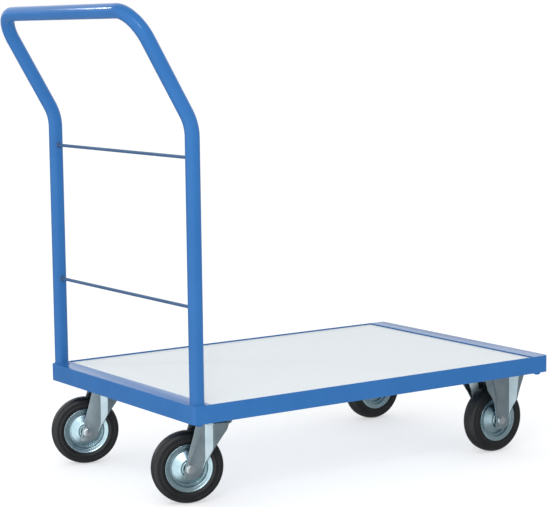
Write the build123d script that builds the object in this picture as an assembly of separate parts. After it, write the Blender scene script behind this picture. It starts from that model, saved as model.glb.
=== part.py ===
from build123d import *
import os
from math import cos, pi, radians, sin, sqrt, tan

# Flatbed platform truck with one push handle, two swivel and two fixed casters.
# Millimetres. +X points away from the handle, +Y to the left, +Z up.
# The origin is on the floor, below the middle of the overall box.

# ---- Driving dimensions ----------------------------------------------------
deck_length = 1000.0          # over the end rails
deck_width = 650.0            # over the side rails
deck_height = 235.0           # frame top above the floor
rail_height = 40.0
rail_thickness = 3.0
end_flange_width = 45.0       # top leg of the two end angles
side_flange_width = 30.0      # bottom leg of the two side angles
frame_corner_radius = 10.0

board_thickness = 18.0
board_gap = 1.0               # between the board and the rails
bearer_width = 24.0
bearer_wall = 2.0

tube_diameter = 32.0
tube_wall = 2.0
upright_inset_x = 19.0        # upright axis in from the rear face
upright_inset_y = 19.0        # upright axis in from the side face
knee_height = 592.0           # above the frame top, where the two axes meet
handle_top = 827.0            # bar axis above the frame top
handle_slant = 30.0           # degrees from the vertical
knee_radius = 100.0
grip_radius = 68.0
rod_diameter = 8.0
lower_rod_height = 206.0      # above the frame top
upper_rod_height = 522.0

caster_height = 195.0         # floor to the top of the caster plate
caster_inset_rear = 97.0      # swivel axis in from the rear face
caster_inset_front = 103.0    # fixed wheel axis in from the front face
caster_inset_side = 85.0      # fixed casters, in from the side face
swivel_inset_side = 93.0      # swivel axes, in from the side face
trail = 53.0                  # swivel axis to wheel axis
left_swivel_angle = -19.0     # how far each rear caster stands turned at rest
right_swivel_angle = -18.0

wheel_diameter = 160.0
tread_width = 40.0
rim_diameter = 105.0
hub_length = 50.0
fork_gap = 56.0               # between the inner faces of the legs
leg_thickness = 3.0
axle_radius = 5.0
leg_end_radius = 22.0         # round front of every leg's lower end
leg_end_shift = 6.5           # its centre, in front of the axle
leg_end_back = 12.5           # back edge of the leg, behind the axle
leg_heel_back = 15.0          # square heel below it, behind the axle
heel_radius = 3.0

plate_length = 135.0
plate_width = 110.0
plate_thickness = 3.5
bolt_pitch_x = 105.0
bolt_pitch_y = 60.0
bolt_radius = 5.0
nut_radius = 9.8              # over the corners of an M10 hexagon
running_clearance = 0.05      # radial, in the turning fits

# ---- Derived places --------------------------------------------------------
grip_offset = tan(radians(handle_slant)) * (handle_top - knee_height)
handle_reach = grip_offset + tube_diameter / 2 - upright_inset_x
rear_x = (handle_reach - deck_length) / 2
front_x = rear_x + deck_length
deck_x = (rear_x + front_x) / 2
half_width = deck_width / 2
frame_bottom = deck_height - rail_height
board_top = deck_height - rail_thickness
board_bottom = board_top - board_thickness
flange_top = frame_bottom + rail_thickness
bearer_height = board_bottom - flange_top
pad_thickness = 5.0
pad_top = frame_bottom + pad_thickness
plate_bottom = caster_height - plate_thickness
wheel_radius = wheel_diameter / 2
upright_x = rear_x + upright_inset_x
upright_y = half_width - upright_inset_y
nut_height = 8.4
swivel_x = rear_x + caster_inset_rear
fixed_x = front_x - caster_inset_front
caster_y = half_width - caster_inset_side
swivel_y = half_width - swivel_inset_side

parts = {}


def box_between(x0, x1, y0, y1, z0, z1):
    """Box from its six faces."""
    middle = Pos((x0 + x1) / 2, (y0 + y1) / 2, (z0 + z1) / 2)
    return middle * Box(x1 - x0, y1 - y0, z1 - z0)


def disc(x, y, z0, z1, radius, inner=0.0):
    """Upright cylinder or ring from z0 to z1."""
    place = Pos(x, y, (z0 + z1) / 2)
    solid = place * Cylinder(radius, z1 - z0)
    if inner:
        solid -= place * Cylinder(inner, z1 - z0 + 2)
    return solid


def hexagon(x, y, z0, z1, corner_radius):
    """Upright hexagonal prism from z0 to z1."""
    sketch = Pos(x, y, z0) * RegularPolygon(corner_radius, 6)
    return extrude(sketch, z1 - z0)


def cross_disc(x, y0, y1, z, radius, inner=0.0):
    """Cylinder or ring along Y."""
    place = Pos(x, (y0 + y1) / 2, z) * Rot(X=90)
    solid = place * Cylinder(radius, y1 - y0)
    if inner:
        solid -= place * Cylinder(inner, y1 - y0 + 2)
    return solid


def rounded_plate(length, width, radius, z0, z1):
    """Flat plate with rounded corners, centred on the axis."""
    return extrude(Pos(0, 0, z0) * RectangleRounded(length, width, radius), z1 - z0)


def turned(points):
    """Solid of revolution about Y from points given as (y, radius)."""
    outline = Polyline([(0, y, r) for y, r in points], close=True)
    return revolve(make_face(outline), Axis.Y, 360)


# ---- Frame -----------------------------------------------------------------
def frame_skin():
    """The four upright legs of the frame, as one ring with round corners."""
    outer = RectangleRounded(deck_length, deck_width, frame_corner_radius)
    inner = RectangleRounded(
        deck_length - 2 * rail_thickness,
        deck_width - 2 * rail_thickness,
        frame_corner_radius - rail_thickness,
    )
    return extrude(Pos(deck_x, 0, frame_bottom) * (outer - inner), rail_height)


def end_rail(face_x, inward):
    """Inverted angle: outer leg round both corners, top leg over the board's end."""
    inner_x = face_x + inward * end_flange_width
    x0, x1 = sorted((face_x, inner_x))
    window = box_between(x0, x1, -deck_width, deck_width, frame_bottom - 1, deck_height + 1)
    top = extrude(
        Pos(deck_x, 0, board_top)
        * RectangleRounded(deck_length, deck_width, frame_corner_radius),
        rail_thickness,
    )
    return (frame_skin() & window) + (top & window)


def side_rail(side):
    """Angle: outer leg between the end rails, bottom leg under the bearers."""
    x0 = rear_x + end_flange_width
    x1 = front_x - end_flange_width
    y_out = side * half_width
    y_in = side * (half_width - rail_thickness)
    web = box_between(x0, x1, *sorted((y_out, y_in)), frame_bottom, deck_height)
    y_edge = side * (half_width - rail_thickness - side_flange_width)
    end_gap = rail_thickness + frame_corner_radius
    flange = box_between(
        rear_x + end_gap, front_x - end_gap, *sorted((y_in, y_edge)), frame_bottom, flange_top
    )
    return web + flange


parts["rear_rail"] = end_rail(rear_x, 1)
parts["front_rail"] = end_rail(front_x, -1)
parts["left_side_rail"] = side_rail(1)
parts["right_side_rail"] = side_rail(-1)

end_bearer_inset = 22.0
inner_bearer_inset = 192.0
bearer_places = {
    "rear_bearer": rear_x + end_bearer_inset,
    "rear_inner_bearer": rear_x + inner_bearer_inset,
    "middle_bearer": deck_x,
    "front_inner_bearer": front_x - inner_bearer_inset,
    "front_bearer": front_x - end_bearer_inset,
}


def bearer(x):
    """Rectangular tube across the frame, resting on the two bottom legs."""
    half = half_width - rail_thickness
    w = bearer_width / 2
    wall = bearer_wall
    outer = box_between(x - w, x + w, -half, half, flange_top, board_bottom)
    hollow = box_between(
        x - w + wall, x + w - wall, -half - 1, half + 1, flange_top + wall, board_bottom - wall
    )
    return outer - hollow


bearers = {name: bearer(x) for name, x in bearer_places.items()}

board_corner_radius = frame_corner_radius - rail_thickness
rebate_depth = 0.5            # lets the board's ends slide under the end rails
deck_board = extrude(
    Pos(deck_x, 0, board_bottom)
    * RectangleRounded(
        deck_length - 2 * (rail_thickness + board_gap),
        deck_width - 2 * (rail_thickness + board_gap),
        board_corner_radius,
    ),
    board_thickness,
)
rebate_length = end_flange_width + board_gap
for x0, x1 in ((rear_x, rear_x + rebate_length), (front_x - rebate_length, front_x)):
    deck_board -= box_between(
        x0, x1, -half_width, half_width, board_top - rebate_depth, board_top + 1
    )

# Pan-head screws hold the board down on the three inner bearers.
screw_radius = 2.5
screw_head_radius = 5.0
screw_head_height = 3.0
screw_depth = 13.0
screw_rows_y = (-240.0, 0.0, 240.0)


def deck_screw(x, y):
    head = disc(x, y, flange_top - screw_head_height, flange_top, screw_head_radius)
    shank = disc(x, y, flange_top - 1, board_bottom + screw_depth, screw_radius)
    return head + shank


deck_screws = []
for name in ("rear_inner_bearer", "middle_bearer", "front_inner_bearer"):
    for y in screw_rows_y:
        screw = deck_screw(bearer_places[name], y)
        bearers[name] -= screw
        deck_board -= screw
        deck_screws.append(screw)

# Dome-head coach screws clamp the board's corners to the end bearers and side flanges.
corner_screw_inset_y = 16.0
corner_head_radius = 8.0
corner_head_height = 7.0
corner_shank_radius = 4.0


def corner_screw(x, y):
    head = disc(x, y, frame_bottom - corner_head_height, frame_bottom, corner_head_radius)
    rim = head.edges().group_by(Axis.Z)[0]
    head = fillet(rim, 4.0)
    shank = disc(x, y, frame_bottom - 1, board_bottom + screw_depth, corner_shank_radius)
    return head + shank


corner_screws = []
for name in ("rear_bearer", "front_bearer"):
    for side in (1, -1):
        screw = corner_screw(bearer_places[name], side * (half_width - corner_screw_inset_y))
        bearers[name] -= screw
        deck_board -= screw
        rail = "left_side_rail" if side > 0 else "right_side_rail"
        parts[rail] -= screw
        corner_screws.append(screw)

parts.update(bearers)
parts["deck_board"] = deck_board
parts["deck_screws"] = Compound(children=deck_screws)
parts["corner_screws"] = Compound(children=corner_screws)

# ---- Caster mounting pads, bolts and nuts ----------------------------------
pad_gap = 0.5
pad_start = end_bearer_inset + bearer_width / 2 + pad_gap
pad_end = inner_bearer_inset - bearer_width / 2 - pad_gap
pad_side = rail_thickness + side_flange_width
pad_width = 132.0
bolt_head_height = 6.4
bolt_tail = 1.5


def bolt_places(x, y):
    for dx in (-bolt_pitch_x / 2, bolt_pitch_x / 2):
        for dy in (-bolt_pitch_y / 2, bolt_pitch_y / 2):
            yield x + dx, y + dy


def caster_pad(face_x, inward, side, centre):
    """Plate welded between the side flange and two bearers, drilled for one caster."""
    xs = sorted((face_x + inward * pad_start, face_x + inward * pad_end))
    ys = sorted((side * (half_width - pad_side), side * (half_width - pad_side - pad_width)))
    pad = box_between(*xs, *ys, frame_bottom, pad_top)
    for x, y in bolt_places(*centre):
        pad -= disc(x, y, frame_bottom - 1, pad_top + 1, bolt_radius)
    return pad


def caster_bolt(x, y):
    head = hexagon(x, y, pad_top, pad_top + bolt_head_height, nut_radius)
    tip = plate_bottom - nut_height - bolt_tail
    return head + disc(x, y, tip, pad_top + 1, bolt_radius)


def caster_nut(x, y):
    nut = hexagon(x, y, plate_bottom - nut_height, plate_bottom, nut_radius)
    return nut - disc(x, y, plate_bottom - nut_height - 1, plate_bottom + 1, bolt_radius)


caster_centres = {
    "rear_left": (swivel_x, swivel_y),
    "rear_right": (swivel_x, -swivel_y),
    "front_left": (fixed_x, caster_y),
    "front_right": (fixed_x, -caster_y),
}
pads, bolts, nuts = [], [], []
for name, centre in caster_centres.items():
    at_rear = name.startswith("rear")
    side = 1 if name.endswith("left") else -1
    face_x, inward = (rear_x, 1) if at_rear else (front_x, -1)
    pads.append(caster_pad(face_x, inward, side, centre))
    for x, y in bolt_places(*centre):
        bolts.append(caster_bolt(x, y))
        nuts.append(caster_nut(x, y))
parts["caster_pads"] = Compound(children=pads)
parts["caster_bolts"] = Compound(children=bolts)
parts["caster_nuts"] = Compound(children=nuts)

# ---- Push handle -----------------------------------------------------------
grip_x = upright_x - grip_offset
grip_z = deck_height + handle_top


def handle_tube(radius, reach):
    """One bent round bar of the handle's path, running reach past both feet."""
    corners = [
        (upright_x, upright_y, deck_height - reach),
        (upright_x, upright_y, deck_height + knee_height),
        (grip_x, upright_y, grip_z),
        (grip_x, -upright_y, grip_z),
        (upright_x, -upright_y, deck_height + knee_height),
        (upright_x, -upright_y, deck_height - reach),
    ]
    path = FilletPolyline(*corners, radius=[knee_radius, grip_radius, grip_radius, knee_radius])
    section = Pos(*corners[0]) * Circle(radius)
    return sweep(section, path=path)


parts["push_handle"] = handle_tube(tube_diameter / 2, 0) - handle_tube(
    tube_diameter / 2 - tube_wall, 1
)

foot_bead = 2.5
rod_bead = 3.5


def upright_core(side):
    """Solid cylinder that fills one upright, used to cut what meets it."""
    top = deck_height + knee_height
    return disc(upright_x, side * upright_y, deck_height - 1, top, tube_diameter / 2)


def cross_rod(height):
    """Round bar between the uprights, its ends cut to the tubes."""
    z = deck_height + height
    bar = cross_disc(upright_x, -upright_y, upright_y, z, rod_diameter / 2)
    return bar - upright_core(1) - upright_core(-1)


def foot_weld(side):
    """Fillet bead round one upright where it stands on the rear rail."""
    bead = Pos(upright_x, side * upright_y, deck_height + foot_bead / 2) * Cone(
        tube_diameter / 2 + foot_bead, tube_diameter / 2, foot_bead
    )
    return bead - upright_core(side)


def rod_weld(side, height):
    """Bead round one end of a cross rod, against the tube."""
    length = 6.0
    reach = tube_diameter / 2 - 1.5
    wide = rod_diameter / 2 + rod_bead
    cone = Cone(wide, rod_diameter / 2, length)
    place = Pos(
        upright_x, side * (upright_y - reach - length / 2), deck_height + height
    ) * Rot(X=90 * side)
    bead = place * cone
    bead -= upright_core(side)
    return bead - cross_disc(upright_x, -upright_y, upright_y, deck_height + height, rod_diameter / 2)


parts["upper_cross_rod"] = cross_rod(upper_rod_height)
parts["lower_cross_rod"] = cross_rod(lower_rod_height)
parts["handle_foot_welds"] = Compound(children=[foot_weld(side) for side in (1, -1)])
parts["rod_end_welds"] = Compound(
    children=[
        rod_weld(side, height) for side in (1, -1) for height in (lower_rod_height, upper_rod_height)
    ]
)

# ---- Wheel, built round its own axle at the origin -------------------------
rim_radius = rim_diameter / 2
seat_radius = 44.0
seat_half_width = 17.0
rim_sheet = 2.0
disc_groove_y = 9.0           # inner face of the disc's ring, from the wheel's middle
disc_collar_y = 21.0          # inner face of the disc's collar on the hub
hub_outer = 17.0
sleeve_outer = 9.0
roller_radius = 1.75
roller_count = 14
roller_length = 44.0
roller_pitch = sleeve_outer + running_clearance + roller_radius
hub_inner = roller_pitch + roller_radius + running_clearance
leg_inner = fork_gap / 2
leg_outer = leg_inner + leg_thickness


def tyre():
    """Solid rubber tyre with straight side walls and a crowned tread."""
    half = tread_width / 2
    crown = wheel_radius
    shoulder = (half - 9.0, crown - 1.2)
    wall_top = (half, crown - 13.0)
    edge = [
        Line((0, -seat_half_width, seat_radius), (0, seat_half_width, seat_radius)),
        Line((0, seat_half_width, seat_radius), (0, seat_half_width, rim_radius + 0.5)),
        Line((0, seat_half_width, rim_radius + 0.5), (0, half, rim_radius + 5.0)),
        Line((0, half, rim_radius + 5.0), (0, *wall_top)),
        ThreePointArc((0, *wall_top), (0, half - 2.6, crown - 5.0), (0, *shoulder)),
        ThreePointArc((0, *shoulder), (0, 0, crown), (0, -shoulder[0], shoulder[1])),
        ThreePointArc(
            (0, -shoulder[0], shoulder[1]), (0, 2.6 - half, crown - 5.0), (0, -half, wall_top[1])
        ),
        Line((0, -half, wall_top[1]), (0, -half, rim_radius + 5.0)),
        Line((0, -half, rim_radius + 5.0), (0, -seat_half_width, rim_radius + 0.5)),
        Line((0, -seat_half_width, rim_radius + 0.5), (0, -seat_half_width, seat_radius)),
    ]
    return revolve(make_face(Wire(edge)), Axis.Y, 360)


def rim_half(side):
    """Pressed disc: a collar on the hub, a cone, a grooved ring, the seat and the flange."""
    t = rim_sheet
    a = seat_half_width
    s = seat_radius
    groove = disc_groove_y
    collar = disc_collar_y
    outline = [
        (collar, hub_outer), (collar, 21.0), (groove, 36.0), (groove, s), (a, s), (a, rim_radius),
        (a + t, rim_radius), (a + t, s - 1.0), (a + 1.0, s - t), (groove + t, s - t),
        (groove + t, 37.0), (collar + t, 22.0), (collar + t, hub_outer),
    ]
    return turned([(side * y, r) for y, r in outline])


def rollers():
    """Needle rollers of the wheel bearing."""
    out = []
    for i in range(roller_count):
        turn = 2 * pi * i / roller_count
        place = Pos(roller_pitch * cos(turn), 0, roller_pitch * sin(turn)) * Rot(X=90)
        out.append(place * Cylinder(roller_radius, roller_length))
    return Compound(children=out)


def wheel_nodes(name):
    return {
        f"{name}_tyre": tyre(),
        f"{name}_rim": Compound(children=[rim_half(1), rim_half(-1)]),
        f"{name}_hub": cross_disc(0, -hub_length / 2, hub_length / 2, 0, hub_outer, hub_inner),
        f"{name}_bearing_rollers": rollers(),
    }


axle_head_radius = 9.2
axle_head_height = 6.4
axle_washer_radius = 10.5
axle_washer_height = 1.5
axle_tail = 2.5


def axle_nodes(name):
    """Bolt, nut and spacer sleeve; washers are forged on the head and the nut."""
    seat = leg_outer + axle_washer_height
    head = Rot(X=90) * hexagon(0, 0, seat, seat + axle_head_height, axle_head_radius)
    collar = cross_disc(0, -seat, -leg_outer, 0, axle_washer_radius)
    tip = seat + axle_head_height + axle_tail
    bolt = head + collar + cross_disc(0, -leg_outer - 1, tip, 0, axle_radius)
    nut = Rot(X=-90) * hexagon(0, 0, seat, seat + axle_head_height, axle_head_radius)
    nut += cross_disc(0, leg_outer, seat, 0, axle_washer_radius)
    nut -= cross_disc(0, leg_outer - 1, tip + 1, 0, axle_radius)
    sleeve = cross_disc(0, -leg_inner, leg_inner, 0, sleeve_outer, axle_radius)
    return {f"{name}_axle_bolt": bolt, f"{name}_axle_nut": nut, f"{name}_axle_sleeve": sleeve}


# ---- Pressed legs of forks and brackets ------------------------------------
def leg_section(z, back, front, splay, lip, back_splay=None, back_lip=None):
    """Cross-section of the +Y leg at height z.

    A flat panel from back to front, a flange splayed outward at 45 degrees on
    its front edge, then a lip parallel to the panel. A bracket has both on its
    back edge as well.
    """
    t = leg_thickness
    k = t * tan(radians(22.5))
    y = leg_inner
    inner = [(front, y), (front + splay, y + splay), (front + splay + lip, y + splay)]
    outer = [(front + splay + lip, y + splay + t), (front + splay - k, y + splay + t), (front - k, y + t)]
    if back_splay is None:
        inner_back = [(back, y)]
        outer_back = [(back, y + t)]
    else:
        fold = back - back_splay
        edge = fold - back_lip
        inner_back = [(edge, y + back_splay), (fold, y + back_splay), (back, y)]
        outer_back = [(back + k, y + t), (fold + k, y + back_splay + t), (edge, y + back_splay + t)]
    points = inner_back + inner + outer + outer_back
    return make_face(Polyline([(px, py, z) for px, py in points], close=True))


def leg_end(axle_x):
    """Lower end of the +Y leg: round in front, with a square heel at the back."""
    centre_x = axle_x + leg_end_shift
    bottom = wheel_radius - leg_end_radius
    heel_x = axle_x - leg_heel_back
    slant = leg_end_radius * sqrt(0.5)
    outline = [
        Line((axle_x - leg_end_back, 0, wheel_radius), (heel_x, 0, bottom + heel_radius)),
        Line((heel_x, 0, bottom + heel_radius), (heel_x + heel_radius, 0, bottom)),
        Line((heel_x + heel_radius, 0, bottom), (centre_x, 0, bottom)),
        ThreePointArc(
            (centre_x, 0, bottom),
            (centre_x + slant, 0, wheel_radius - slant),
            (centre_x + leg_end_radius, 0, wheel_radius),
        ),
        Line((centre_x + leg_end_radius, 0, wheel_radius), (axle_x - leg_end_back, 0, wheel_radius)),
    ]
    face = Pos(0, leg_inner, 0) * make_face(Wire(outline))
    return extrude(face, leg_thickness, dir=(0, 1, 0))


def pressed_leg(sections, axle_x):
    """Loft from section to section, with the lower end bored for the axle."""
    leg = None
    for upper, lower in zip(sections, sections[1:]):
        span = loft([leg_section(*upper), leg_section(*lower)], ruled=True)
        leg = span if leg is None else leg + span
    leg += leg_end(axle_x)
    return leg - cross_disc(axle_x, leg_inner - 1, leg_outer + 1, wheel_radius, axle_radius)


def mirrored_pair(leg):
    return leg + mirror(leg, about=Plane.XZ)


# ---- Swivel caster ---------------------------------------------------------
crown_top = 180.5
crown_thickness = 3.0
kingpin_radius = 6.0
race_outer = 37.0
ball_radius = 3.5
ball_count = 26
ball_z = crown_top + 4.5
ball_pitch = race_outer - 0.3 - ball_radius
fork_sections = [
    # z, back, front, splay, lip
    (crown_top - crown_thickness, -38.5, -18.0, 14.0, 34.5),
    (166.0, -41.5, -18.0, 14.0, 31.0),
    (147.0, -47.0, -18.0, 14.0, 17.0),
    (130.0, -51.8, -18.0, 14.0, 5.0),
    (123.0, -53.7, -18.0, 13.5, 0.8),
    (102.0, -59.7, -18.3, 4.5, 0.6),
    (94.0, -61.8, -19.5, 0.8, 0.5),
    (
        wheel_radius,
        -trail - leg_end_back,
        leg_end_shift - trail + leg_end_radius - 1.1,
        0.6,
        0.5,
    ),
]


def crown():
    """Flat top of the fork, joining both legs round the front of the kingpin."""
    back_x = fork_sections[0][1]
    front_x = fork_sections[0][2]
    splay = fork_sections[0][3]
    lip = fork_sections[0][4]
    lip_x = front_x + splay + lip
    lip_y = leg_outer + splay
    nose_x = lip_x + 17.0
    edge = [
        Line((back_x, -leg_outer), (back_x, leg_outer)),
        Line((back_x, leg_outer), (front_x, leg_outer)),
        Line((front_x, leg_outer), (front_x + splay, lip_y)),
        Line((front_x + splay, lip_y), (lip_x, lip_y)),
        ThreePointArc((lip_x, lip_y), (nose_x, 0), (lip_x, -lip_y)),
        Line((lip_x, -lip_y), (front_x + splay, -lip_y)),
        Line((front_x + splay, -lip_y), (front_x, -leg_outer)),
        Line((front_x, -leg_outer), (back_x, -leg_outer)),
    ]
    face = make_face(Wire(edge))
    return extrude(Pos(0, 0, crown_top - crown_thickness) * face, crown_thickness)


def fork():
    """Pressed fork with its inner ball race."""
    legs = mirrored_pair(pressed_leg(fork_sections, -trail))
    race = disc(0, 0, crown_top - 1, crown_top + 8.0, ball_pitch - ball_radius, 24.0)
    bore = disc(0, 0, crown_top - 10, crown_top + 10, kingpin_radius + running_clearance)
    return legs + crown() + race - bore


def caster_plate():
    """Drilled top plate with the outer ball race pressed down from it."""
    plate = rounded_plate(plate_length, plate_width, 8.0, plate_bottom, caster_height)
    plate += disc(0, 0, crown_top + 1.5, plate_bottom + 1, race_outer + 3.0, race_outer)
    for x, y in bolt_places(0, 0):
        plate -= disc(x, y, plate_bottom - 1, caster_height + 1, bolt_radius)
    return plate - disc(0, 0, plate_bottom - 1, caster_height + 1, kingpin_radius)


def kingpin():
    """Pin riveted in the plate, with a hexagonal nut under the crown."""
    crown_bottom = crown_top - crown_thickness
    pin = disc(0, 0, crown_bottom - 10.0, caster_height, kingpin_radius)
    collar = disc(0, 0, crown_top + 0.4, plate_bottom, 11.0)
    nut = hexagon(0, 0, crown_bottom - 9.0, crown_bottom - 0.4, 11.0)
    return pin + collar + nut


def swivel_balls():
    """Ring of balls between the two races."""
    out = []
    for i in range(ball_count):
        turn = 2 * pi * i / ball_count
        out.append(Pos(ball_pitch * cos(turn), ball_pitch * sin(turn), ball_z) * Sphere(ball_radius))
    return Compound(children=out)


def fixed_bracket():
    """Pressed plate and two legs with splayed flanges, in one piece."""
    sections = [
        # z, back, front, splay, lip, back splay, back lip
        (plate_bottom + 0.5, -28.0, 27.5, 17.0, 17.0, 17.0, 17.0),
        (160.0, -20.0, 27.5, 14.5, 8.5, 15.5, 17.0),
        (141.0, -14.8, 27.5, 13.4, 3.9, 14.5, 10.0),
        (127.0, -14.4, 27.5, 12.6, 0.8, 14.0, 3.5),
        (113.0, -14.2, 27.5, 6.7, 0.6, 8.0, 0.6),
        (94.0, -13.6, 27.5, 0.8, 0.5, 0.8, 0.5),
        (
            wheel_radius,
            1.2 - leg_end_back,
            leg_end_shift + leg_end_radius - 1.1,
            0.6,
            0.5,
            0.7,
            0.5,
        ),
    ]
    legs = mirrored_pair(pressed_leg(sections, 0))
    plate = rounded_plate(plate_length, plate_width, 8.0, plate_bottom, caster_height)
    for x, y in bolt_places(0, 0):
        plate -= disc(x, y, plate_bottom - 1, caster_height + 1, bolt_radius)
    return legs + plate


# ---- Casters in place ------------------------------------------------------
for name, angle in (("rear_left", left_swivel_angle), ("rear_right", right_swivel_angle)):
    centre = Pos(*caster_centres[name], 0)
    swivelled = centre * Rot(Z=angle)
    wheel_place = swivelled * Pos(-trail, 0, wheel_radius)
    parts[f"{name}_caster_plate"] = centre * caster_plate()
    parts[f"{name}_kingpin"] = centre * kingpin()
    parts[f"{name}_swivel_balls"] = swivelled * swivel_balls()
    parts[f"{name}_fork"] = swivelled * fork()
    for node, solid in {**axle_nodes(name), **wheel_nodes(name)}.items():
        parts[node] = wheel_place * solid

for name in ("front_left", "front_right"):
    centre = Pos(*caster_centres[name], 0)
    wheel_place = centre * Pos(0, 0, wheel_radius)
    parts[f"{name}_bracket"] = centre * fixed_bracket()
    for node, solid in {**axle_nodes(name), **wheel_nodes(name)}.items():
        parts[node] = wheel_place * solid

# ---- Write one file per sub-part -------------------------------------------
os.makedirs("parts", exist_ok=True)
for name, shape in parts.items():
    export_step(shape, f"parts/{name}.step")
print(len(parts), "nodes")
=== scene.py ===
# %% [markdown]
# # A flatbed platform truck, finished by hand in Blender
#
# The steel frame, the bent push handle, the deck board and the four casters come as a fixed frame of
# solids, in metres, already at their right places. This lesson gives them their looks. The deck board,
# the screws, the caster bolts and all hidden parts keep their own mesh and only get a finish. Rails,
# forks, plates and brackets become copies with round edges. The handle, the rods, the weld beads, the
# wheels and the axle nuts are modelled by hand, at exactly the same place.

# %% Load the frame
import math

import bmesh
import bpy
from mathutils import Matrix, Vector


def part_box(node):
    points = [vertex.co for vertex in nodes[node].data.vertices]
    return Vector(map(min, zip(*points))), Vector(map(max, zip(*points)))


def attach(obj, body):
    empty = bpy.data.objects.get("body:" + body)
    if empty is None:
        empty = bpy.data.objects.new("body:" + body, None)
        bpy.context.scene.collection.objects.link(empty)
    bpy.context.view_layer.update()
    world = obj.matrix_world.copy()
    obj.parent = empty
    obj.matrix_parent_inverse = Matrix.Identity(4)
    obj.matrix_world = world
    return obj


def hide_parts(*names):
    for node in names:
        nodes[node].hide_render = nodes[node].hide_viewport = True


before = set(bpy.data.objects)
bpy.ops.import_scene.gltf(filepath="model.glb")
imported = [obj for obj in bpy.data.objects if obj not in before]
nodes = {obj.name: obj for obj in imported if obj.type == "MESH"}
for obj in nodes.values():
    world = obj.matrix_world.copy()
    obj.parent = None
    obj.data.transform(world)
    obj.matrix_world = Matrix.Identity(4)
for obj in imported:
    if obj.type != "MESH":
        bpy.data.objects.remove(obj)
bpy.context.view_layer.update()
MM = 0.001

# %% [markdown]
# ## Camera
#
# The truck is seen from behind the handle and a little to its right, from just above the top of the
# handle, with a fairly long lens. The camera stands on its own: its place is given from the near rear
# corner of the deck, and it is turned by three angles, so that each one can be judged by itself.

# %% Set up the camera
deck_corner = Vector((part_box("rear_rail")[0].x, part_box("rear_rail")[0].y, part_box("rear_rail")[1].z))
CAMERA_FROM_CORNER = Vector((-1.9710, -3.2156, 0.7849))
LOOK_ASIDE = 0.5960        # radians to the right of straight ahead along Y
LOOK_DOWN = 0.1220
CAMERA_ROLL = 0.0126
FOCAL_LENGTH = 119.6       # on a sensor 36 mm wide

camera_data = bpy.data.cameras.new("studio_camera")
camera_data.lens = FOCAL_LENGTH
camera_data.sensor_width = 36.0
camera = bpy.data.objects.new("studio_camera", camera_data)
bpy.context.scene.collection.objects.link(camera)
camera.location = deck_corner + CAMERA_FROM_CORNER


def aim(yaw, pitch, roll):
    """Turns the camera: right by yaw, down by pitch, then about its own line of sight by roll."""
    forward = Vector((math.sin(yaw) * math.cos(pitch), math.cos(yaw) * math.cos(pitch), -math.sin(pitch)))
    right = Vector((math.cos(yaw), -math.sin(yaw), 0.0))
    down = forward.cross(right)
    turned_right = math.cos(roll) * right + math.sin(roll) * down
    turned_down = math.cos(roll) * down - math.sin(roll) * right
    camera.rotation_euler = Matrix((turned_right, -turned_down, -forward)).transposed().to_euler()


aim(LOOK_ASIDE, LOOK_DOWN, CAMERA_ROLL)
bpy.context.scene.camera = camera
print("the camera stands at", [round(v, 2) for v in camera.location])

# %% [markdown]
# ## Floor and light
#
# A truck like this is shown in a white studio. The floor is one wide pale disc that glows a little. The
# light is an even dome. Polished metal mirrors another dome instead: it is bright behind the handle,
# pale where the backdrop hangs beyond the truck, and grey elsewhere, so that zinc shows its shape. A large
# soft lamp lights the near corner, and two small ones put a glint on the grip of the handle.

# %% Lay the floor
FLOOR_RADIUS = 30.0
FLOOR_MIDDLE = 4.0         # radius of the inner disc, on which the truck stands
bpy.ops.object.select_all(action="DESELECT")
bpy.ops.mesh.primitive_circle_add(vertices=96, radius=FLOOR_RADIUS, fill_type="NGON", location=(0, 0, 0))
studio_floor = bpy.context.object
studio_floor.name = "studio_floor"
bpy.ops.object.mode_set(mode="EDIT")
bpy.ops.mesh.inset(thickness=FLOOR_RADIUS - FLOOR_MIDDLE)
bpy.ops.object.mode_set(mode="OBJECT")
studio_floor.visible_glossy = False     # polished metal mirrors the soft dome, not the paper
print("floor", FLOOR_RADIUS, "m in radius")

# %% Hang the lamps
world = bpy.data.worlds.new("studio_dome")
bpy.context.scene.world = world
world.use_nodes = True
BRIGHT_SIDE = (-0.98, -0.17, 0.0)      # behind the handle
BACKDROP_SIDE = (0.55, 0.83, 0.0)      # behind the truck, as the camera sees it
sky = world.node_tree
direction = sky.nodes.new("ShaderNodeTexCoord").outputs["Generated"]
seen = sky.nodes.new("ShaderNodeLightPath").outputs


def towards(side):
    """How far a direction of the sky points to the side, from -1 to 1."""
    turn = sky.nodes.new("ShaderNodeVectorMath")
    turn.operation = "DOT_PRODUCT"
    turn.inputs[1].default_value = side
    sky.links.new(direction, turn.inputs[0])
    return turn.outputs["Value"]


def sky_ramp(value, start, stop, first, last):
    """A colour that goes from first to last while the value goes from start to stop."""
    ramp = sky.nodes.new("ShaderNodeValToRGB")
    for stripe, place, shade in zip(ramp.color_ramp.elements, (start, stop), (first, last)):
        stripe.position = place
        stripe.color = (*shade, 1.0)
    sky.links.new(value, ramp.inputs["Fac"])
    return ramp.outputs["Color"]


def sky_mix(factor, first, second):
    """One of two colours of the sky, or a mix of both."""
    mix = sky.nodes.new("ShaderNodeMix")
    mix.data_type = "RGBA"
    for socket, value in zip((mix.inputs[0], mix.inputs[6], mix.inputs[7]), (factor, first, second)):
        if isinstance(value, tuple):
            socket.default_value = (*value, 1.0)
        else:
            sky.links.new(value, socket)
    return mix.outputs[2]


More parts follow.
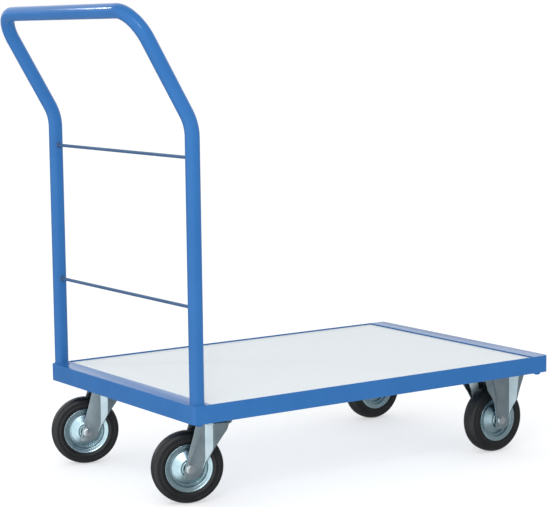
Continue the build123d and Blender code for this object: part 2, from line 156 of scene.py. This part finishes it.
BLACK, WHITE = (0.0, 0.0, 0.0), (1.0, 1.0, 1.0)
side_light = sky_ramp(towards(BRIGHT_SIDE), 0.42, 0.80, (0.33, 0.35, 0.37), (1.45, 1.52, 1.56))
above_table = sky_ramp(towards((0.0, 0.0, 1.0)), 0.0, 0.06, BLACK, WHITE)
backdrop = sky_mix(sky_ramp(towards(BACKDROP_SIDE), 0.2, 0.6, BLACK, WHITE), BLACK, above_table)
mirrored = sky_mix(backdrop, side_light, (1.16, 1.18, 1.20))
lighting = sky_mix(seen["Is Glossy Ray"], (0.82, 0.83, 0.84), mirrored)
sky.links.new(sky_mix(seen["Is Camera Ray"], lighting, WHITE), sky.nodes["Background"].inputs["Color"])


def hang_lamp(name, place, target, width, height, power):
    """A soft box that faces the target."""
    lamp_data = bpy.data.lights.new(name, "AREA")
    lamp_data.shape = "RECTANGLE"
    lamp_data.size = width
    lamp_data.size_y = height
    lamp_data.energy = power
    lamp = bpy.data.objects.new(name, lamp_data)
    bpy.context.scene.collection.objects.link(lamp)
    lamp.visible_camera = False
    lamp.location = place
    lamp.rotation_euler = (Vector(target) - Vector(place)).to_track_quat("-Z", "Y").to_euler()


hang_lamp("soft_box", (-2.6, -2.4, 2.6), (0, 0, 0.3), 1.6, 1.6, 26)
hang_lamp("front_flash", (-1.11, -1.30, 1.42), (-0.54, -0.31, 1.03), 0.10, 0.10, 3.0)
hang_lamp("back_flash", (-0.93, 0.64, 1.41), (-0.56, -0.23, 1.07), 0.07, 0.07, 1.6)
bpy.context.scene.view_settings.view_transform = "Standard"
print("three lamps hang")

# %% [markdown]
# ## Working with finishes
#
# Each finish is a small tree of nodes. One class wraps a socket, so that masks can be added and
# multiplied like numbers, and one method makes every other kind of node.

# %% A socket that can be calculated with
class Signal:
    """The output of a node. Sums with it add Math nodes."""

    def __init__(self, finish, socket):
        self.finish = finish
        self.socket = socket

    def maths(self, operation, first, second):
        return self.finish.node("ShaderNodeMath", {"operation": operation}, {0: first, 1: second})

    def __add__(self, other):
        return self.maths("ADD", self, other)

    def __mul__(self, other):
        return self.maths("MULTIPLY", self, other)

    __radd__ = __add__
    __rmul__ = __mul__


# %% A finish that is built node by node
def colour(red, green, blue):
    """A colour as a screen names it, 0 to 255, turned into the linear light that a shader wants."""
    linear = []
    for part in (red, green, blue):
        part = part / 255
        linear.append(part / 12.92 if part <= 0.04045 else ((part + 0.055) / 1.055) ** 2.4)
    return (*linear, 1.0)


class Finish:
    """A material with one Principled shader."""

    def __init__(self, name, **constants):
        self.material = bpy.data.materials.new(name)
        self.material.use_nodes = True
        self.tree = self.material.node_tree
        self.shader = self.tree.nodes["Principled BSDF"]
        for socket, value in constants.items():
            self.shader.inputs[socket.replace("_", " ")].default_value = value

    def connect(self, value, socket):
        """A signal is linked, and a plain number or colour is typed in."""
        if isinstance(value, Signal):
            self.tree.links.new(value.socket, socket)
        else:
            socket.default_value = value

    def node(self, kind, settings, inputs, output=0):
        """A new node: its settings first, then the values or links of its sockets."""
        made = self.tree.nodes.new(kind)
        for key, value in settings.items():
            setattr(made, key, value)
        for socket, value in inputs.items():
            self.connect(value, made.inputs[socket])
        return Signal(self, made.outputs[output])

    def places(self, attribute=None):
        """Where a point is: in the truck's frame, or in the piece's own kept attribute."""
        if attribute:
            return self.node("ShaderNodeAttribute", {"attribute_name": attribute}, {}, output="Vector")
        return self.node("ShaderNodeTexCoord", {}, {}, output="Object")

    def noise(self, places, scale, detail=3.0, roughness=0.5):
        inputs = {"Vector": places, "Scale": scale, "Detail": detail, "Roughness": roughness}
        return self.node("ShaderNodeTexNoise", {}, inputs)

    def between(self, share, low, high):
        """A number that goes from low to high as share goes from 0 to 1."""
        return share * (high - low) + low

    def mixed(self, share, first, second):
        """A colour between two others."""
        return self.node(
            "ShaderNodeMix", {"data_type": "RGBA"}, {"Factor": share, 6: first, 7: second}, output=2
        )

    def wear(self, share, start, end):
        """Spreads the part of a signal from start to end over 0 to 1."""
        return self.node(
            "ShaderNodeMapRange", {}, {"Value": share, "From Min": start, "From Max": end}
        )

    def set(self, **signals):
        """Links signals to the shader. Underscores in the names stand for spaces."""
        for socket, signal in signals.items():
            self.connect(signal, self.shader.inputs[socket.replace("_", " ")])

    def bump(self, height, distance, strength=1.0):
        self.set(
            Normal=self.node(
                "ShaderNodeBump", {}, {"Height": height, "Distance": distance, "Strength": strength}
            )
        )


print("finishes can be built")

# %% [markdown]
# ## The finishes of the truck
#
# Powder coat is sprayed dry and melted on in an oven, so it is satin and a little rippled, like orange
# peel. The deck is a board with a hard laminate: nearly white, with a faint pearl grain. The casters are
# pressed steel with a bluish zinc plating, and solid black rubber tyres.

# %% Blue powder coat
def powder_coat(name, base, pale):
    coat = Finish(name, Metallic=0.0, IOR=1.5, Specular_IOR_Level=0.18)
    places = coat.places()
    clouds = coat.noise(places, 7.0, 4.0, 0.6)
    peel = coat.noise(places, 620.0, 2.0, 0.45)
    coat.set(
        Base_Color=coat.mixed(coat.wear(clouds, 0.3, 0.7), base, pale),
        Roughness=coat.between(coat.noise(places, 45.0, 3.0), 0.17, 0.24),
    )
    coat.bump(peel, 0.00012, 0.55)
    return coat.material


blue_coat = powder_coat("blue_powder_coat_finish", colour(48, 107, 171), colour(54, 113, 177))
rod_coat = powder_coat("rod_coat_finish", colour(58, 90, 128), colour(68, 100, 138))
print("blue coat ready")

# %% Laminate on the deck board
laminate = Finish("laminate_finish", Metallic=0.0, IOR=1.5)
deck_places = laminate.places()
pearl = laminate.noise(deck_places, 420.0, 5.0, 0.65)
haze = laminate.noise(deck_places, 3.2, 3.0, 0.5)
pearled = laminate.mixed(laminate.wear(pearl, 0.35, 0.65), colour(214, 221, 224), colour(228, 233, 235))
laminate.set(
    Base_Color=laminate.mixed(laminate.wear(haze, 0.35, 0.65) * 0.5, pearled, colour(222, 229, 232)),
    Roughness=laminate.between(pearl, 0.30, 0.42),
)
laminate.bump(pearl, 0.00008, 0.4)
print("laminate ready")

# %% Black rubber
KEPT_PLACE = "kept_place"
rubber = Finish("rubber_finish", Metallic=0.0, IOR=1.45)
tyre_places = rubber.places(KEPT_PLACE)
bloom = rubber.noise(tyre_places, 38.0, 5.0, 0.6)
grit = rubber.noise(tyre_places, 900.0, 3.0, 0.6)
rubber.set(
    Base_Color=rubber.mixed(rubber.wear(bloom, 0.3, 0.75), colour(16, 18, 20), colour(28, 30, 32)),
    Roughness=rubber.between(bloom, 0.34, 0.52),
)
rubber.bump(grit, 0.0001, 0.5)
print("rubber ready")


# %% Zinc plating
RINGS_PER_METRE = 500.0    # fine turning marks round an axle


def zinc(name, dark, pale, rough_low, rough_high, attribute=None, ringed=False):
    plating = Finish(name, Metallic=1.0)
    places = plating.places(attribute)
    clouds = plating.noise(places, 30.0, 5.0, 0.6)
    spangle = plating.noise(places, 240.0, 4.0, 0.6)
    plating.set(
        Base_Color=plating.mixed(plating.wear(clouds, 0.3, 0.7), dark, pale),
        Roughness=plating.between(spangle, rough_low, rough_high),
    )
    height = spangle
    if ringed:
        across = plating.node(
            "ShaderNodeVectorMath", {"operation": "MULTIPLY"}, {0: places, 1: (1.0, 0.0, 1.0)}
        )
        radius = plating.node("ShaderNodeVectorMath", {"operation": "LENGTH"}, {0: across}, output="Value")
        height = plating.noise(
            plating.node("ShaderNodeCombineXYZ", {}, {"X": radius * RINGS_PER_METRE}), 1.0, 2.0
        )
    plating.bump(height, 0.00003, 0.35)
    return plating.material


zinc_sheet = zinc("zinc_sheet_finish", colour(158, 172, 178), colour(180, 194, 199), 0.26, 0.36)
bright_zinc = zinc("bright_zinc_finish", colour(205, 212, 214), colour(225, 230, 232), 0.16, 0.28)
bearing_steel = zinc("bearing_steel_finish", colour(150, 152, 154), colour(176, 178, 180), 0.12, 0.22)
rim_zinc = zinc(
    "rim_zinc_finish", colour(158, 184, 192), colour(190, 212, 218), 0.22, 0.34, KEPT_PLACE, ringed=True
)
print("zinc ready")

# %% Every solid that stays gets its finish
finish_of_slot = {
    "blue_powder_coat": blue_coat,
    "rod_paint": rod_coat,
    "laminate_board": laminate.material,
    "rubber_tyre": rubber.material,
    "zinc_plate": zinc_sheet,
    "bright_zinc": bright_zinc,
    "bearing_steel": bearing_steel,
}
for solid in nodes.values():
    solid.material_slots[0].material = finish_of_slot[solid.material_slots[0].material.name]

# %% [markdown]
# ## Working by hand, from code
#
# An operator acts on whatever is selected. So before each step nothing but the right piece is selected,
# and inside a piece the faces, edges or points are picked by where they are.

# %% Selecting, modifying and handing over
def only(piece):
    """Leaves edit mode and selects nothing but this piece."""
    if bpy.context.mode != "OBJECT":
        bpy.ops.object.mode_set(mode="OBJECT")
    bpy.ops.object.select_all(action="DESELECT")
    piece.select_set(True)
    bpy.context.view_layer.objects.active = piece


def edit(piece, kind="VERT"):
    only(piece)
    bpy.ops.object.mode_set(mode="EDIT")
    bpy.ops.mesh.select_mode(type=kind)


def pick_faces(piece, test):
    """In edit mode: selects the faces whose middle and normal pass the test."""
    bpy.ops.mesh.select_mode(type="FACE")
    bpy.ops.mesh.select_all(action="DESELECT")
    shape = bmesh.from_edit_mesh(piece.data)
    picked = 0
    for face in shape.faces:
        wanted = bool(test(face.calc_center_median(), face.normal))
        face.select_set(wanted)
        picked += wanted
    bmesh.update_edit_mesh(piece.data)
    return picked


def modify(piece, kind, **settings):
    """Adds a modifier and applies it at once."""
    only(piece)
    modifier = piece.modifiers.new(kind.lower(), kind)
    for key, value in settings.items():
        setattr(modifier, key, value)
    bpy.ops.object.modifier_apply(modifier=modifier.name)


def close_and_smooth(piece, angle=30):
    """Merges doubles, points the faces outwards and smooths all but the sharp edges."""
    edit(piece)
    bpy.ops.mesh.select_all(action="SELECT")
    bpy.ops.mesh.remove_doubles(threshold=0.004 * MM)
    bpy.ops.mesh.normals_make_consistent(inside=False)
    only(piece)
    bpy.ops.object.shade_smooth_by_angle(angle=math.radians(angle))


def hand_over(piece, finish, slot, body, *replaced):
    """Gives a finished piece its finish and the body it rides on, and hides the solids it stands for. The
    slot is not used.
    """
    piece.data.materials.clear()
    piece.data.materials.append(finish)
    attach(piece, body)
    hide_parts(*replaced)
    print(piece.name, "has", len(piece.data.polygons), "faces and rides on", body)


def one_point(name, place):
    """A new piece that is a single point, ready to be extruded."""
    bpy.ops.object.select_all(action="DESELECT")
    bpy.ops.mesh.primitive_plane_add(size=MM, location=(0, 0, 0))
    piece = bpy.context.object
    piece.name = name
    edit(piece)
    bpy.ops.mesh.select_all(action="SELECT")
    bpy.ops.mesh.merge(type="CENTER")
    bpy.ops.transform.translate(value=place)
    return piece


def stretch_by(move):
    """Extrudes the picked point and leaves the new one picked."""
    bpy.ops.mesh.extrude_vertices_move(TRANSFORM_OT_translate={"value": move})


def middle(node):
    lowest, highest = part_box(node)
    return (lowest + highest) / 2


print("tools laid out")

# %% [markdown]
# ## The push handle
#
# One long steel tube is bent four times: a knee in each upright, and a corner at each end of the grip.
# Its centre line is drawn the way a tube bender works. A point is pulled straight, spun round the bend's
# centre, pulled straight again, and so on. The line then becomes a curve with a round section.

# %% Where the handle stands
TUBE_RADIUS = 16 * MM
KNEE_RADIUS = 100 * MM
GRIP_RADIUS = 68 * MM
SLANT = math.radians(30)
KNEE_ABOVE_FRAME = 592 * MM

handle_low, handle_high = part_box("push_handle")
frame_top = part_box("rear_rail")[1].z
upright_x = handle_high.x - TUBE_RADIUS
upright_y = handle_high.y - TUBE_RADIUS
grip_x = handle_low.x + TUBE_RADIUS
grip_z = handle_high.z - TUBE_RADIUS
knee_z = frame_top + KNEE_ABOVE_FRAME
knee_run = KNEE_RADIUS * math.tan(SLANT / 2)
print("uprights stand", round(2 * upright_y, 3), "m apart")

# %% Bend the handle
up_slant = Vector((-math.sin(SLANT), 0, math.cos(SLANT)))
across = Vector((0, 1, 0))
slant_length = (Vector((grip_x, 0, grip_z)) - Vector((upright_x, 0, knee_z))).length

push_handle = one_point("push_handle_tube", (upright_x, -upright_y, frame_top))
stretch_by((0, 0, knee_z - knee_run - frame_top))
knee_centre = (upright_x - KNEE_RADIUS, 0, knee_z - knee_run)
bpy.ops.mesh.spin(steps=14, angle=SLANT, center=knee_centre, axis=(0, 1, 0))
stretch_by(up_slant * (slant_length - knee_run - GRIP_RADIUS))
grip_start = Vector((grip_x, -upright_y, grip_z)) - up_slant * GRIP_RADIUS
grip_axis = across.cross(up_slant)
bpy.ops.mesh.spin(steps=24, angle=math.pi / 2, center=grip_start + across * GRIP_RADIUS, axis=grip_axis)
stretch_by(across * (2 * upright_y - 2 * GRIP_RADIUS))
grip_end = Vector((grip_x, upright_y - GRIP_RADIUS, grip_z)) - up_slant * GRIP_RADIUS
bpy.ops.mesh.spin(steps=24, angle=math.pi / 2, center=grip_end, axis=grip_axis)
stretch_by(up_slant * -(slant_length - knee_run - GRIP_RADIUS))
bpy.ops.mesh.spin(steps=14, angle=SLANT, center=knee_centre, axis=(0, -1, 0))
stretch_by((0, 0, -(knee_z - knee_run - frame_top)))

# %% Give the line its round section
only(push_handle)
bpy.ops.object.convert(target="CURVE")
push_handle.data.bevel_depth = TUBE_RADIUS
push_handle.data.bevel_resolution = 7
push_handle.data.use_fill_caps = True
bpy.ops.object.convert(target="MESH")
close_and_smooth(push_handle, 40)
hand_over(push_handle, blue_coat, "blue_powder_coat", "chassis", "push_handle")

# %% [markdown]
# ## Welds and cross rods
#
# The rods and the feet of the handle are welded, and paint covers the beads. A bead is a small torus
# round the joint. Every other ring of it is pulled in, which leaves the ripples that a torch makes.

# %% A rippled weld bead
def weld_bead(name, place, turn, joint_radius, bead, rings):
    """A bead that runs once round a joint, with its ripples pulled in."""
    bpy.ops.object.select_all(action="DESELECT")
    bpy.ops.mesh.primitive_torus_add(
        major_radius=joint_radius,
        minor_radius=bead,
        major_segments=rings,
        minor_segments=12,
        location=place,
        rotation=turn,
    )
    piece = bpy.context.object
    piece.name = name
    bpy.ops.object.transform_apply(location=True, rotation=True, scale=True)
    edit(piece)
    bpy.ops.mesh.select_all(action="DESELECT")
    shape = bmesh.from_edit_mesh(piece.data)
    for index, vert in enumerate(shape.verts):
        vert.select_set((index // 12) % 3 == 0)
    bmesh.update_edit_mesh(piece.data)
    bpy.ops.transform.shrink_fatten(value=-0.16 * bead)
    only(piece)
    bpy.ops.object.shade_smooth()
    return piece


def joined(name, pieces):
    """Several pieces made one."""
    only(pieces[0])
    for piece in pieces[1:]:
        piece.select_set(True)
    bpy.ops.object.join()
    pieces[0].name = name
    return pieces[0]


# %% Beads at the feet of the handle
FOOT_BEAD = 2.4 * MM
feet = []
for side in (1, -1):
    foot_place = (upright_x, side * upright_y, frame_top + 0.3 * MM)
    feet.append(weld_bead("foot_bead", foot_place, (0, 0, 0), TUBE_RADIUS + 0.3 * MM, FOOT_BEAD, 66))
foot_beads = joined("handle_foot_beads", feet)
hand_over(foot_beads, blue_coat, "blue_powder_coat", "chassis", "handle_foot_welds")

# %% Beads at the ends of the rods
rod_radius = (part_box("upper_cross_rod")[1].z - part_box("upper_cross_rod")[0].z) / 2
rod_beads = []
for node in ("upper_cross_rod", "lower_cross_rod"):
    height = middle(node).z
    for side in (1, -1):
        bead_place = (upright_x, side * (upright_y - TUBE_RADIUS), height)
        rod_beads.append(
            weld_bead("rod_bead", bead_place, (math.pi / 2, 0, 0), rod_radius + 0.6 * MM, 2.6 * MM, 30)
        )
end_beads = joined("rod_end_beads", rod_beads)
hand_over(end_beads, rod_coat, "rod_paint", "chassis", "rod_end_welds")


# %% Draw the rods
def drawn_rod(name, node):
    """A round bar that runs into both tubes, thickened a little where the torch heated it."""
    height = middle(node).z
    reach = upright_y - 0.6 * TUBE_RADIUS
    bpy.ops.object.select_all(action="DESELECT")
    bpy.ops.mesh.primitive_circle_add(
        vertices=24, radius=rod_radius, location=(upright_x, -reach, height), rotation=(math.pi / 2, 0, 0)
    )
    rod = bpy.context.object
    rod.name = name
    bpy.ops.object.transform_apply(location=True, rotation=True, scale=True)
    edit(rod, "EDGE")
    bpy.ops.mesh.select_all(action="SELECT")
    bpy.ops.mesh.edge_face_add()
    heated = 18 * MM
    for length, growth in ((heated, 0.94), (2 * (reach - heated), 1.0), (heated, 1 / 0.94)):
        bpy.ops.mesh.extrude_region_move(TRANSFORM_OT_translate={"value": (0, length, 0)})
        bpy.ops.transform.resize(value=(growth, 1, growth))
    close_and_smooth(rod, 40)
    hand_over(rod, rod_coat, "rod_paint", "chassis", node)


drawn_rod("upper_rod", "upper_cross_rod")
drawn_rod("lower_rod", "lower_cross_rod")

# %% [markdown]
# ## The frame round the deck
#
# Four steel angles are welded into one ring and ground flush, so the real frame has no seams on its
# faces. The four solids are copied, united into one shape, and its folded and sawn edges are rounded.
# The solids themselves stay as they are, hidden, for the motion checks.

# %% Copy a solid and round its edges
def clean_copy(node, name):
    """A copy of a solid, its loose triangles merged and flat ones dissolved into whole faces."""
    mesh = nodes[node].data.copy()
    piece = bpy.data.objects.new(name, mesh)
    bpy.context.scene.collection.objects.link(piece)
    only(piece)
    bpy.ops.mesh.customdata_custom_splitnormals_clear()
    edit(piece)
    bpy.ops.mesh.select_all(action="SELECT")
    bpy.ops.mesh.remove_doubles(threshold=0.002 * MM)
    bpy.ops.mesh.dissolve_limited(angle_limit=math.radians(0.6))
    only(piece)
    return piece


def rounded_edges(piece, width, angle=32, segments=3):
    modify(
        piece,
        "BEVEL",
        width=width,
        segments=segments,
        limit_method="ANGLE",
        angle_limit=math.radians(angle),
        use_clamp_overlap=True,
        harden_normals=False,
    )
    close_and_smooth(piece, 35)


# %% Unite the four rails
RAILS = ("rear_rail", "front_rail", "left_side_rail", "right_side_rail")
deck_frame = clean_copy(RAILS[0], "deck_frame")
for rail in RAILS[1:]:
    part = clean_copy(rail, "rail_to_unite")
    modify(deck_frame, "BOOLEAN", operation="UNION", solver="EXACT", object=part)
    bpy.data.objects.remove(part)
edit(deck_frame)
bpy.ops.mesh.select_all(action="SELECT")
bpy.ops.mesh.remove_doubles(threshold=0.01 * MM)
bpy.ops.mesh.dissolve_limited(angle_limit=math.radians(0.6))
rounded_edges(deck_frame, 1.0 * MM)
hand_over(deck_frame, blue_coat, "blue_powder_coat", "chassis", *RAILS)

# %% [markdown]
# ## Wheels
#
# A wheel is turned, so it is made as on a lathe: half of its section is drawn point by point, its corners
# are rounded while they are still single points, and the line is spun round the axle. Each wheel keeps
# a note of where its points were before it was put in place, so that finishes run round the axle.

# %% A lathe
def turned(name, section, steps, corner=0.0, rounding=2):
    """Spins a closed section of (place along the axle, radius), in millimetres, round the Y axis."""
    first = Vector((0, section[0][0], section[0][1])) * MM
    piece = one_point(name, first)
    here = first
    for along, radius in section[1:] + section[:1]:
        there = Vector((0, along, radius)) * MM
        stretch_by(there - here)
        here = there
    bpy.ops.mesh.select_all(action="SELECT")
    bpy.ops.mesh.remove_doubles(threshold=0.001 * MM)
    if corner:
        bpy.ops.mesh.bevel(offset=corner * MM, segments=rounding, affect="VERTICES")
        bpy.ops.mesh.select_all(action="SELECT")
    bpy.ops.mesh.spin(steps=steps, angle=2 * math.pi, center=(0, 0, 0), axis=(0, 1, 0))
    close_and_smooth(piece, 38)
    return piece


def keep_place(piece):
    """Notes each point's place in the wheel's own frame, for its finish."""
    note = piece.data.attributes.new(KEPT_PLACE, "FLOAT_VECTOR", "POINT")
    places = [0.0] * (3 * len(piece.data.vertices))
    piece.data.vertices.foreach_get("co", places)
    note.data.foreach_set("vector", places)


def copied(piece, name, turn, place):
    """A copy with its own mesh, turned about the vertical and moved to its place for good."""
    only(piece)
    bpy.ops.object.duplicate()
    copy = bpy.context.object
    copy.name = name
    copy.rotation_euler.z = turn
    copy.location = place
    bpy.ops.object.transform_apply(location=True, rotation=True, scale=True)
    return copy


# %% Where the wheels stand
WHEELS = ("rear_left", "rear_right", "front_left", "front_right")


def wheel_turn(wheel):
    """How far a wheel stands turned: the way from its hub to its kingpin. Front wheels stand straight."""
    if wheel.startswith("front"):
        return 0.0
    way = middle(f"{wheel}_kingpin") - middle(f"{wheel}_hub")
    return math.atan2(way.y, way.x)


def holder(wheel):
    """The body that carries a wheel's axle."""
    return "chassis" if wheel.startswith("front") else f"{wheel}_swivel_fork"


for wheel in WHEELS:
    print(wheel, "stands turned by", round(math.degrees(wheel_turn(wheel)), 1), "degrees")

# %% [markdown]
# ### Tyre
#
# The tyre is solid black rubber. Its side wall carries a raised ring near the rim and a shallow groove
# below the shoulder. Fine grooves run across its tread.

# %% Turn the tyre
TREAD_GROOVES = 96
tyre_side = [
    (17, 44), (17, 53), (19.6, 56.9), (20, 58.2), (20.5, 59.0), (20.5, 61.2), (20, 62.0), (20, 66.4),
    (19.3, 67.0), (19.3, 68.2), (19.7, 68.9), (19.0, 72.3), (17.3, 75.2), (14.6, 77.4), (11.0, 78.8),
    (6.0, 79.6), (2.0, 79.95),
]
tyre_section = tyre_side + [(-along, radius) for along, radius in reversed(tyre_side)]
tyre = turned("tyre_pattern", tyre_section, 3 * TREAD_GROOVES)

# %% Cut the tread
edit(tyre, "FACE")


def in_groove(place, normal):
    radius = math.hypot(place.x, place.z)
    step = math.floor((math.atan2(place.z, place.x) / math.tau) * 3 * TREAD_GROOVES + 0.5)
    return radius > 76.5 * MM and step % 3 == 0


picked = pick_faces(tyre, in_groove)
bpy.ops.mesh.extrude_region_shrink_fatten(
    MESH_OT_extrude_region={}, TRANSFORM_OT_shrink_fatten={"value": -0.8 * MM}
)
close_and_smooth(tyre, 38)
keep_place(tyre)
print("the tread has", picked, "grooved faces")

# %% Fit the tyres
for wheel in WHEELS:
    copy = copied(tyre, f"{wheel}_ribbed_tyre", wheel_turn(wheel), middle(f"{wheel}_hub"))
    hand_over(copy, rubber.material, "rubber_tyre", f"{wheel}_wheel", f"{wheel}_tyre")
bpy.data.objects.remove(tyre)

# %% [markdown]
# ### Rim
#
# The rim is pressed from two zinc plated discs. Each one has a collar on the hub, a cone that comes down
# to a ring, a seat for the tyre, and a flange that tilts outwards and ends in a rolled lip. The tilt
# matters: it makes the lower edge of the flange catch the light.

# %% Turn the rim
rim_side = [
    (23.2, 17), (23.2, 20.0), (22.4, 21.8), (11.2, 36.6), (10.9, 38.2), (11.7, 39.4), (10.9, 40.6),
    (11.4, 41.8), (15.8, 42.4), (16.9, 43.6), (17.7, 46.4), (18.6, 49.6), (19.8, 51.6), (19.9, 52.6),
    (19.0, 53.1), (17.4, 52.3), (17.0, 50.5), (15.5, 44.6), (9, 44), (9, 36), (20.4, 21), (20.6, 17),
]
rim = turned("rim_pattern", rim_side, 144, corner=0.5)
other_half = turned("rim_half", [(-along, radius) for along, radius in rim_side], 144, corner=0.5)
rim = joined("rim_pattern", [rim, other_half])
keep_place(rim)

# %% Turn the hub
hub_side = [
    (25, 12.6), (25, 15.6), (24.4, 16.4), (23.2, 16.9), (10, 16.9), (10, 16.5), (-10, 16.5), (-10, 16.9),
    (-23.2, 16.9), (-24.4, 16.4), (-25, 15.6), (-25, 12.6),
]
hub = turned("hub_pattern", hub_side, 72, corner=0.15)
keep_place(hub)

# %% Fit the rims and hubs
for wheel in WHEELS:
    place, turn = middle(f"{wheel}_hub"), wheel_turn(wheel)
    copy = copied(rim, f"{wheel}_pressed_rim", turn, place)
    hand_over(copy, rim_zinc, "zinc_plate", f"{wheel}_wheel", f"{wheel}_rim")
    copy = copied(hub, f"{wheel}_turned_hub", turn, place)
    hand_over(copy, rim_zinc, "zinc_plate", f"{wheel}_wheel", f"{wheel}_hub")
bpy.data.objects.remove(rim)
bpy.data.objects.remove(hub)

# %% [markdown]
# ## Nuts and bolts
#
# The corners of a real nut are cut off by a cone. The hexagon is therefore cut with a turned blank, so
# that each flat gets the curved edge that shows at once whether a nut is real.

# %% A hexagon with turned corners
CORNER_CUT = 0.62          # share of the corner's height over the flat that is turned off


def hexagon_head(name, corner_radius, height):
    """A hexagon along Y that starts at 0 and rises to height, its outer corners turned off."""
    bpy.ops.object.select_all(action="DESELECT")
    bpy.ops.mesh.primitive_cylinder_add(
        vertices=6,
        radius=corner_radius * MM,
        depth=height * MM,
        location=(0, height / 2 * MM, 0),
        rotation=(math.pi / 2, 0, 0),
    )
    block = bpy.context.object
    block.name = name
    bpy.ops.object.transform_apply(location=True, rotation=True, scale=True)
    flat_radius = corner_radius * math.cos(math.pi / 6)
    drop = (corner_radius - flat_radius) * CORNER_CUT
    clear = corner_radius * 1.1
    blank = turned(
        "blank",
        [(-0.5, 0), (-0.5, clear), (0.2, clear), (height - drop * 1.4, clear), (height, flat_radius * 0.95),
         (height + 0.5, 0)],
        60,
    )
    modify(block, "BOOLEAN", operation="INTERSECT", solver="EXACT", object=blank)
    bpy.data.objects.remove(blank)
    close_and_smooth(block, 24)
    return block


# %% Bolts and nuts of the axles
LEG_OUTER = 31.0
WASHER = 1.5
HEAD_CORNERS = 9.2
HEAD_HEIGHT = 6.4


def head_on_washer(name):
    """A hexagon head on its washer, both in the place they have on the outer face of a leg."""
    head = hexagon_head(name, HEAD_CORNERS, HEAD_HEIGHT)
    head.location.y = (LEG_OUTER + WASHER) * MM
    only(head)
    bpy.ops.object.transform_apply(location=True, rotation=True, scale=True)
    ring = [(LEG_OUTER, 5), (LEG_OUTER, 10.5), (LEG_OUTER + WASHER, 10.5), (LEG_OUTER + WASHER, 5)]
    return [head, turned("washer", ring, 48, 0.4)]


axle_bolt = joined("axle_bolt_pattern", head_on_washer("axle_bolt_pattern"))
only(axle_bolt)
axle_bolt.rotation_euler.z = math.pi
bpy.ops.object.transform_apply(location=True, rotation=True, scale=True)
keep_place(axle_bolt)

nut_pieces = head_on_washer("axle_nut_pattern")
tip = LEG_OUTER + WASHER + HEAD_HEIGHT
thread = [(tip - 1.5, 0), (tip - 1.5, 4.9)]
for ridge in range(3):
    thread += [(tip - 0.6 + 0.9 * ridge, 4.35), (tip - 0.15 + 0.9 * ridge, 4.9)]
thread += [(tip + 2.1, 4.1), (tip + 2.4, 3.6), (tip + 2.4, 0)]
bolt_end = turned("bolt_end", thread, 40)
axle_nut = joined("axle_nut_pattern", nut_pieces + [bolt_end])
keep_place(axle_nut)

# %% Fit them to the wheels
for wheel in WHEELS:
    place, turn, body = middle(f"{wheel}_hub"), wheel_turn(wheel), holder(wheel)
    copy = copied(axle_bolt, f"{wheel}_bolt_head", turn, place)
    hand_over(copy, bright_zinc, "bright_zinc", body, f"{wheel}_axle_bolt")
    copy = copied(axle_nut, f"{wheel}_lock_nut", turn, place)
    hand_over(copy, bright_zinc, "bright_zinc", body, f"{wheel}_axle_nut")
bpy.data.objects.remove(axle_bolt)
bpy.data.objects.remove(axle_nut)

# %% [markdown]
# ## Forks, brackets and top plates
#
# These are pressed from 3 mm sheet. The press rounds every fold and the shear rounds every edge, so the
# solids are copied and their edges rounded.

# %% Round the pressed parts
for wheel in ("rear_left", "rear_right"):
    fork = clean_copy(f"{wheel}_fork", f"{wheel}_pressed_fork")
    rounded_edges(fork, 0.8 * MM, angle=20)
    hand_over(fork, zinc_sheet, "zinc_plate", f"{wheel}_swivel_fork", f"{wheel}_fork")
    plate = clean_copy(f"{wheel}_caster_plate", f"{wheel}_drilled_plate")
    rounded_edges(plate, 0.5 * MM)
    hand_over(plate, zinc_sheet, "zinc_plate", "chassis", f"{wheel}_caster_plate")
for wheel in ("front_left", "front_right"):
    bracket = clean_copy(f"{wheel}_bracket", f"{wheel}_pressed_bracket")
    rounded_edges(bracket, 0.8 * MM, angle=20)
    hand_over(bracket, zinc_sheet, "zinc_plate", "chassis", f"{wheel}_bracket")

# %% Floor finish
paper_floor = Finish(
    "paper_floor_finish", Metallic=0.0, Emission_Color=(1.0, 1.0, 1.0, 1.0), Emission_Strength=0.52
)
fibres = paper_floor.noise(paper_floor.places(), 60.0, 4.0)
paper_floor.set(
    Base_Color=paper_floor.mixed(fibres, (0.60, 0.60, 0.60, 1.0), (0.62, 0.62, 0.62, 1.0)),
    Roughness=paper_floor.between(fibres, 0.85, 0.95),
)
studio_floor.data.materials.append(paper_floor.material)
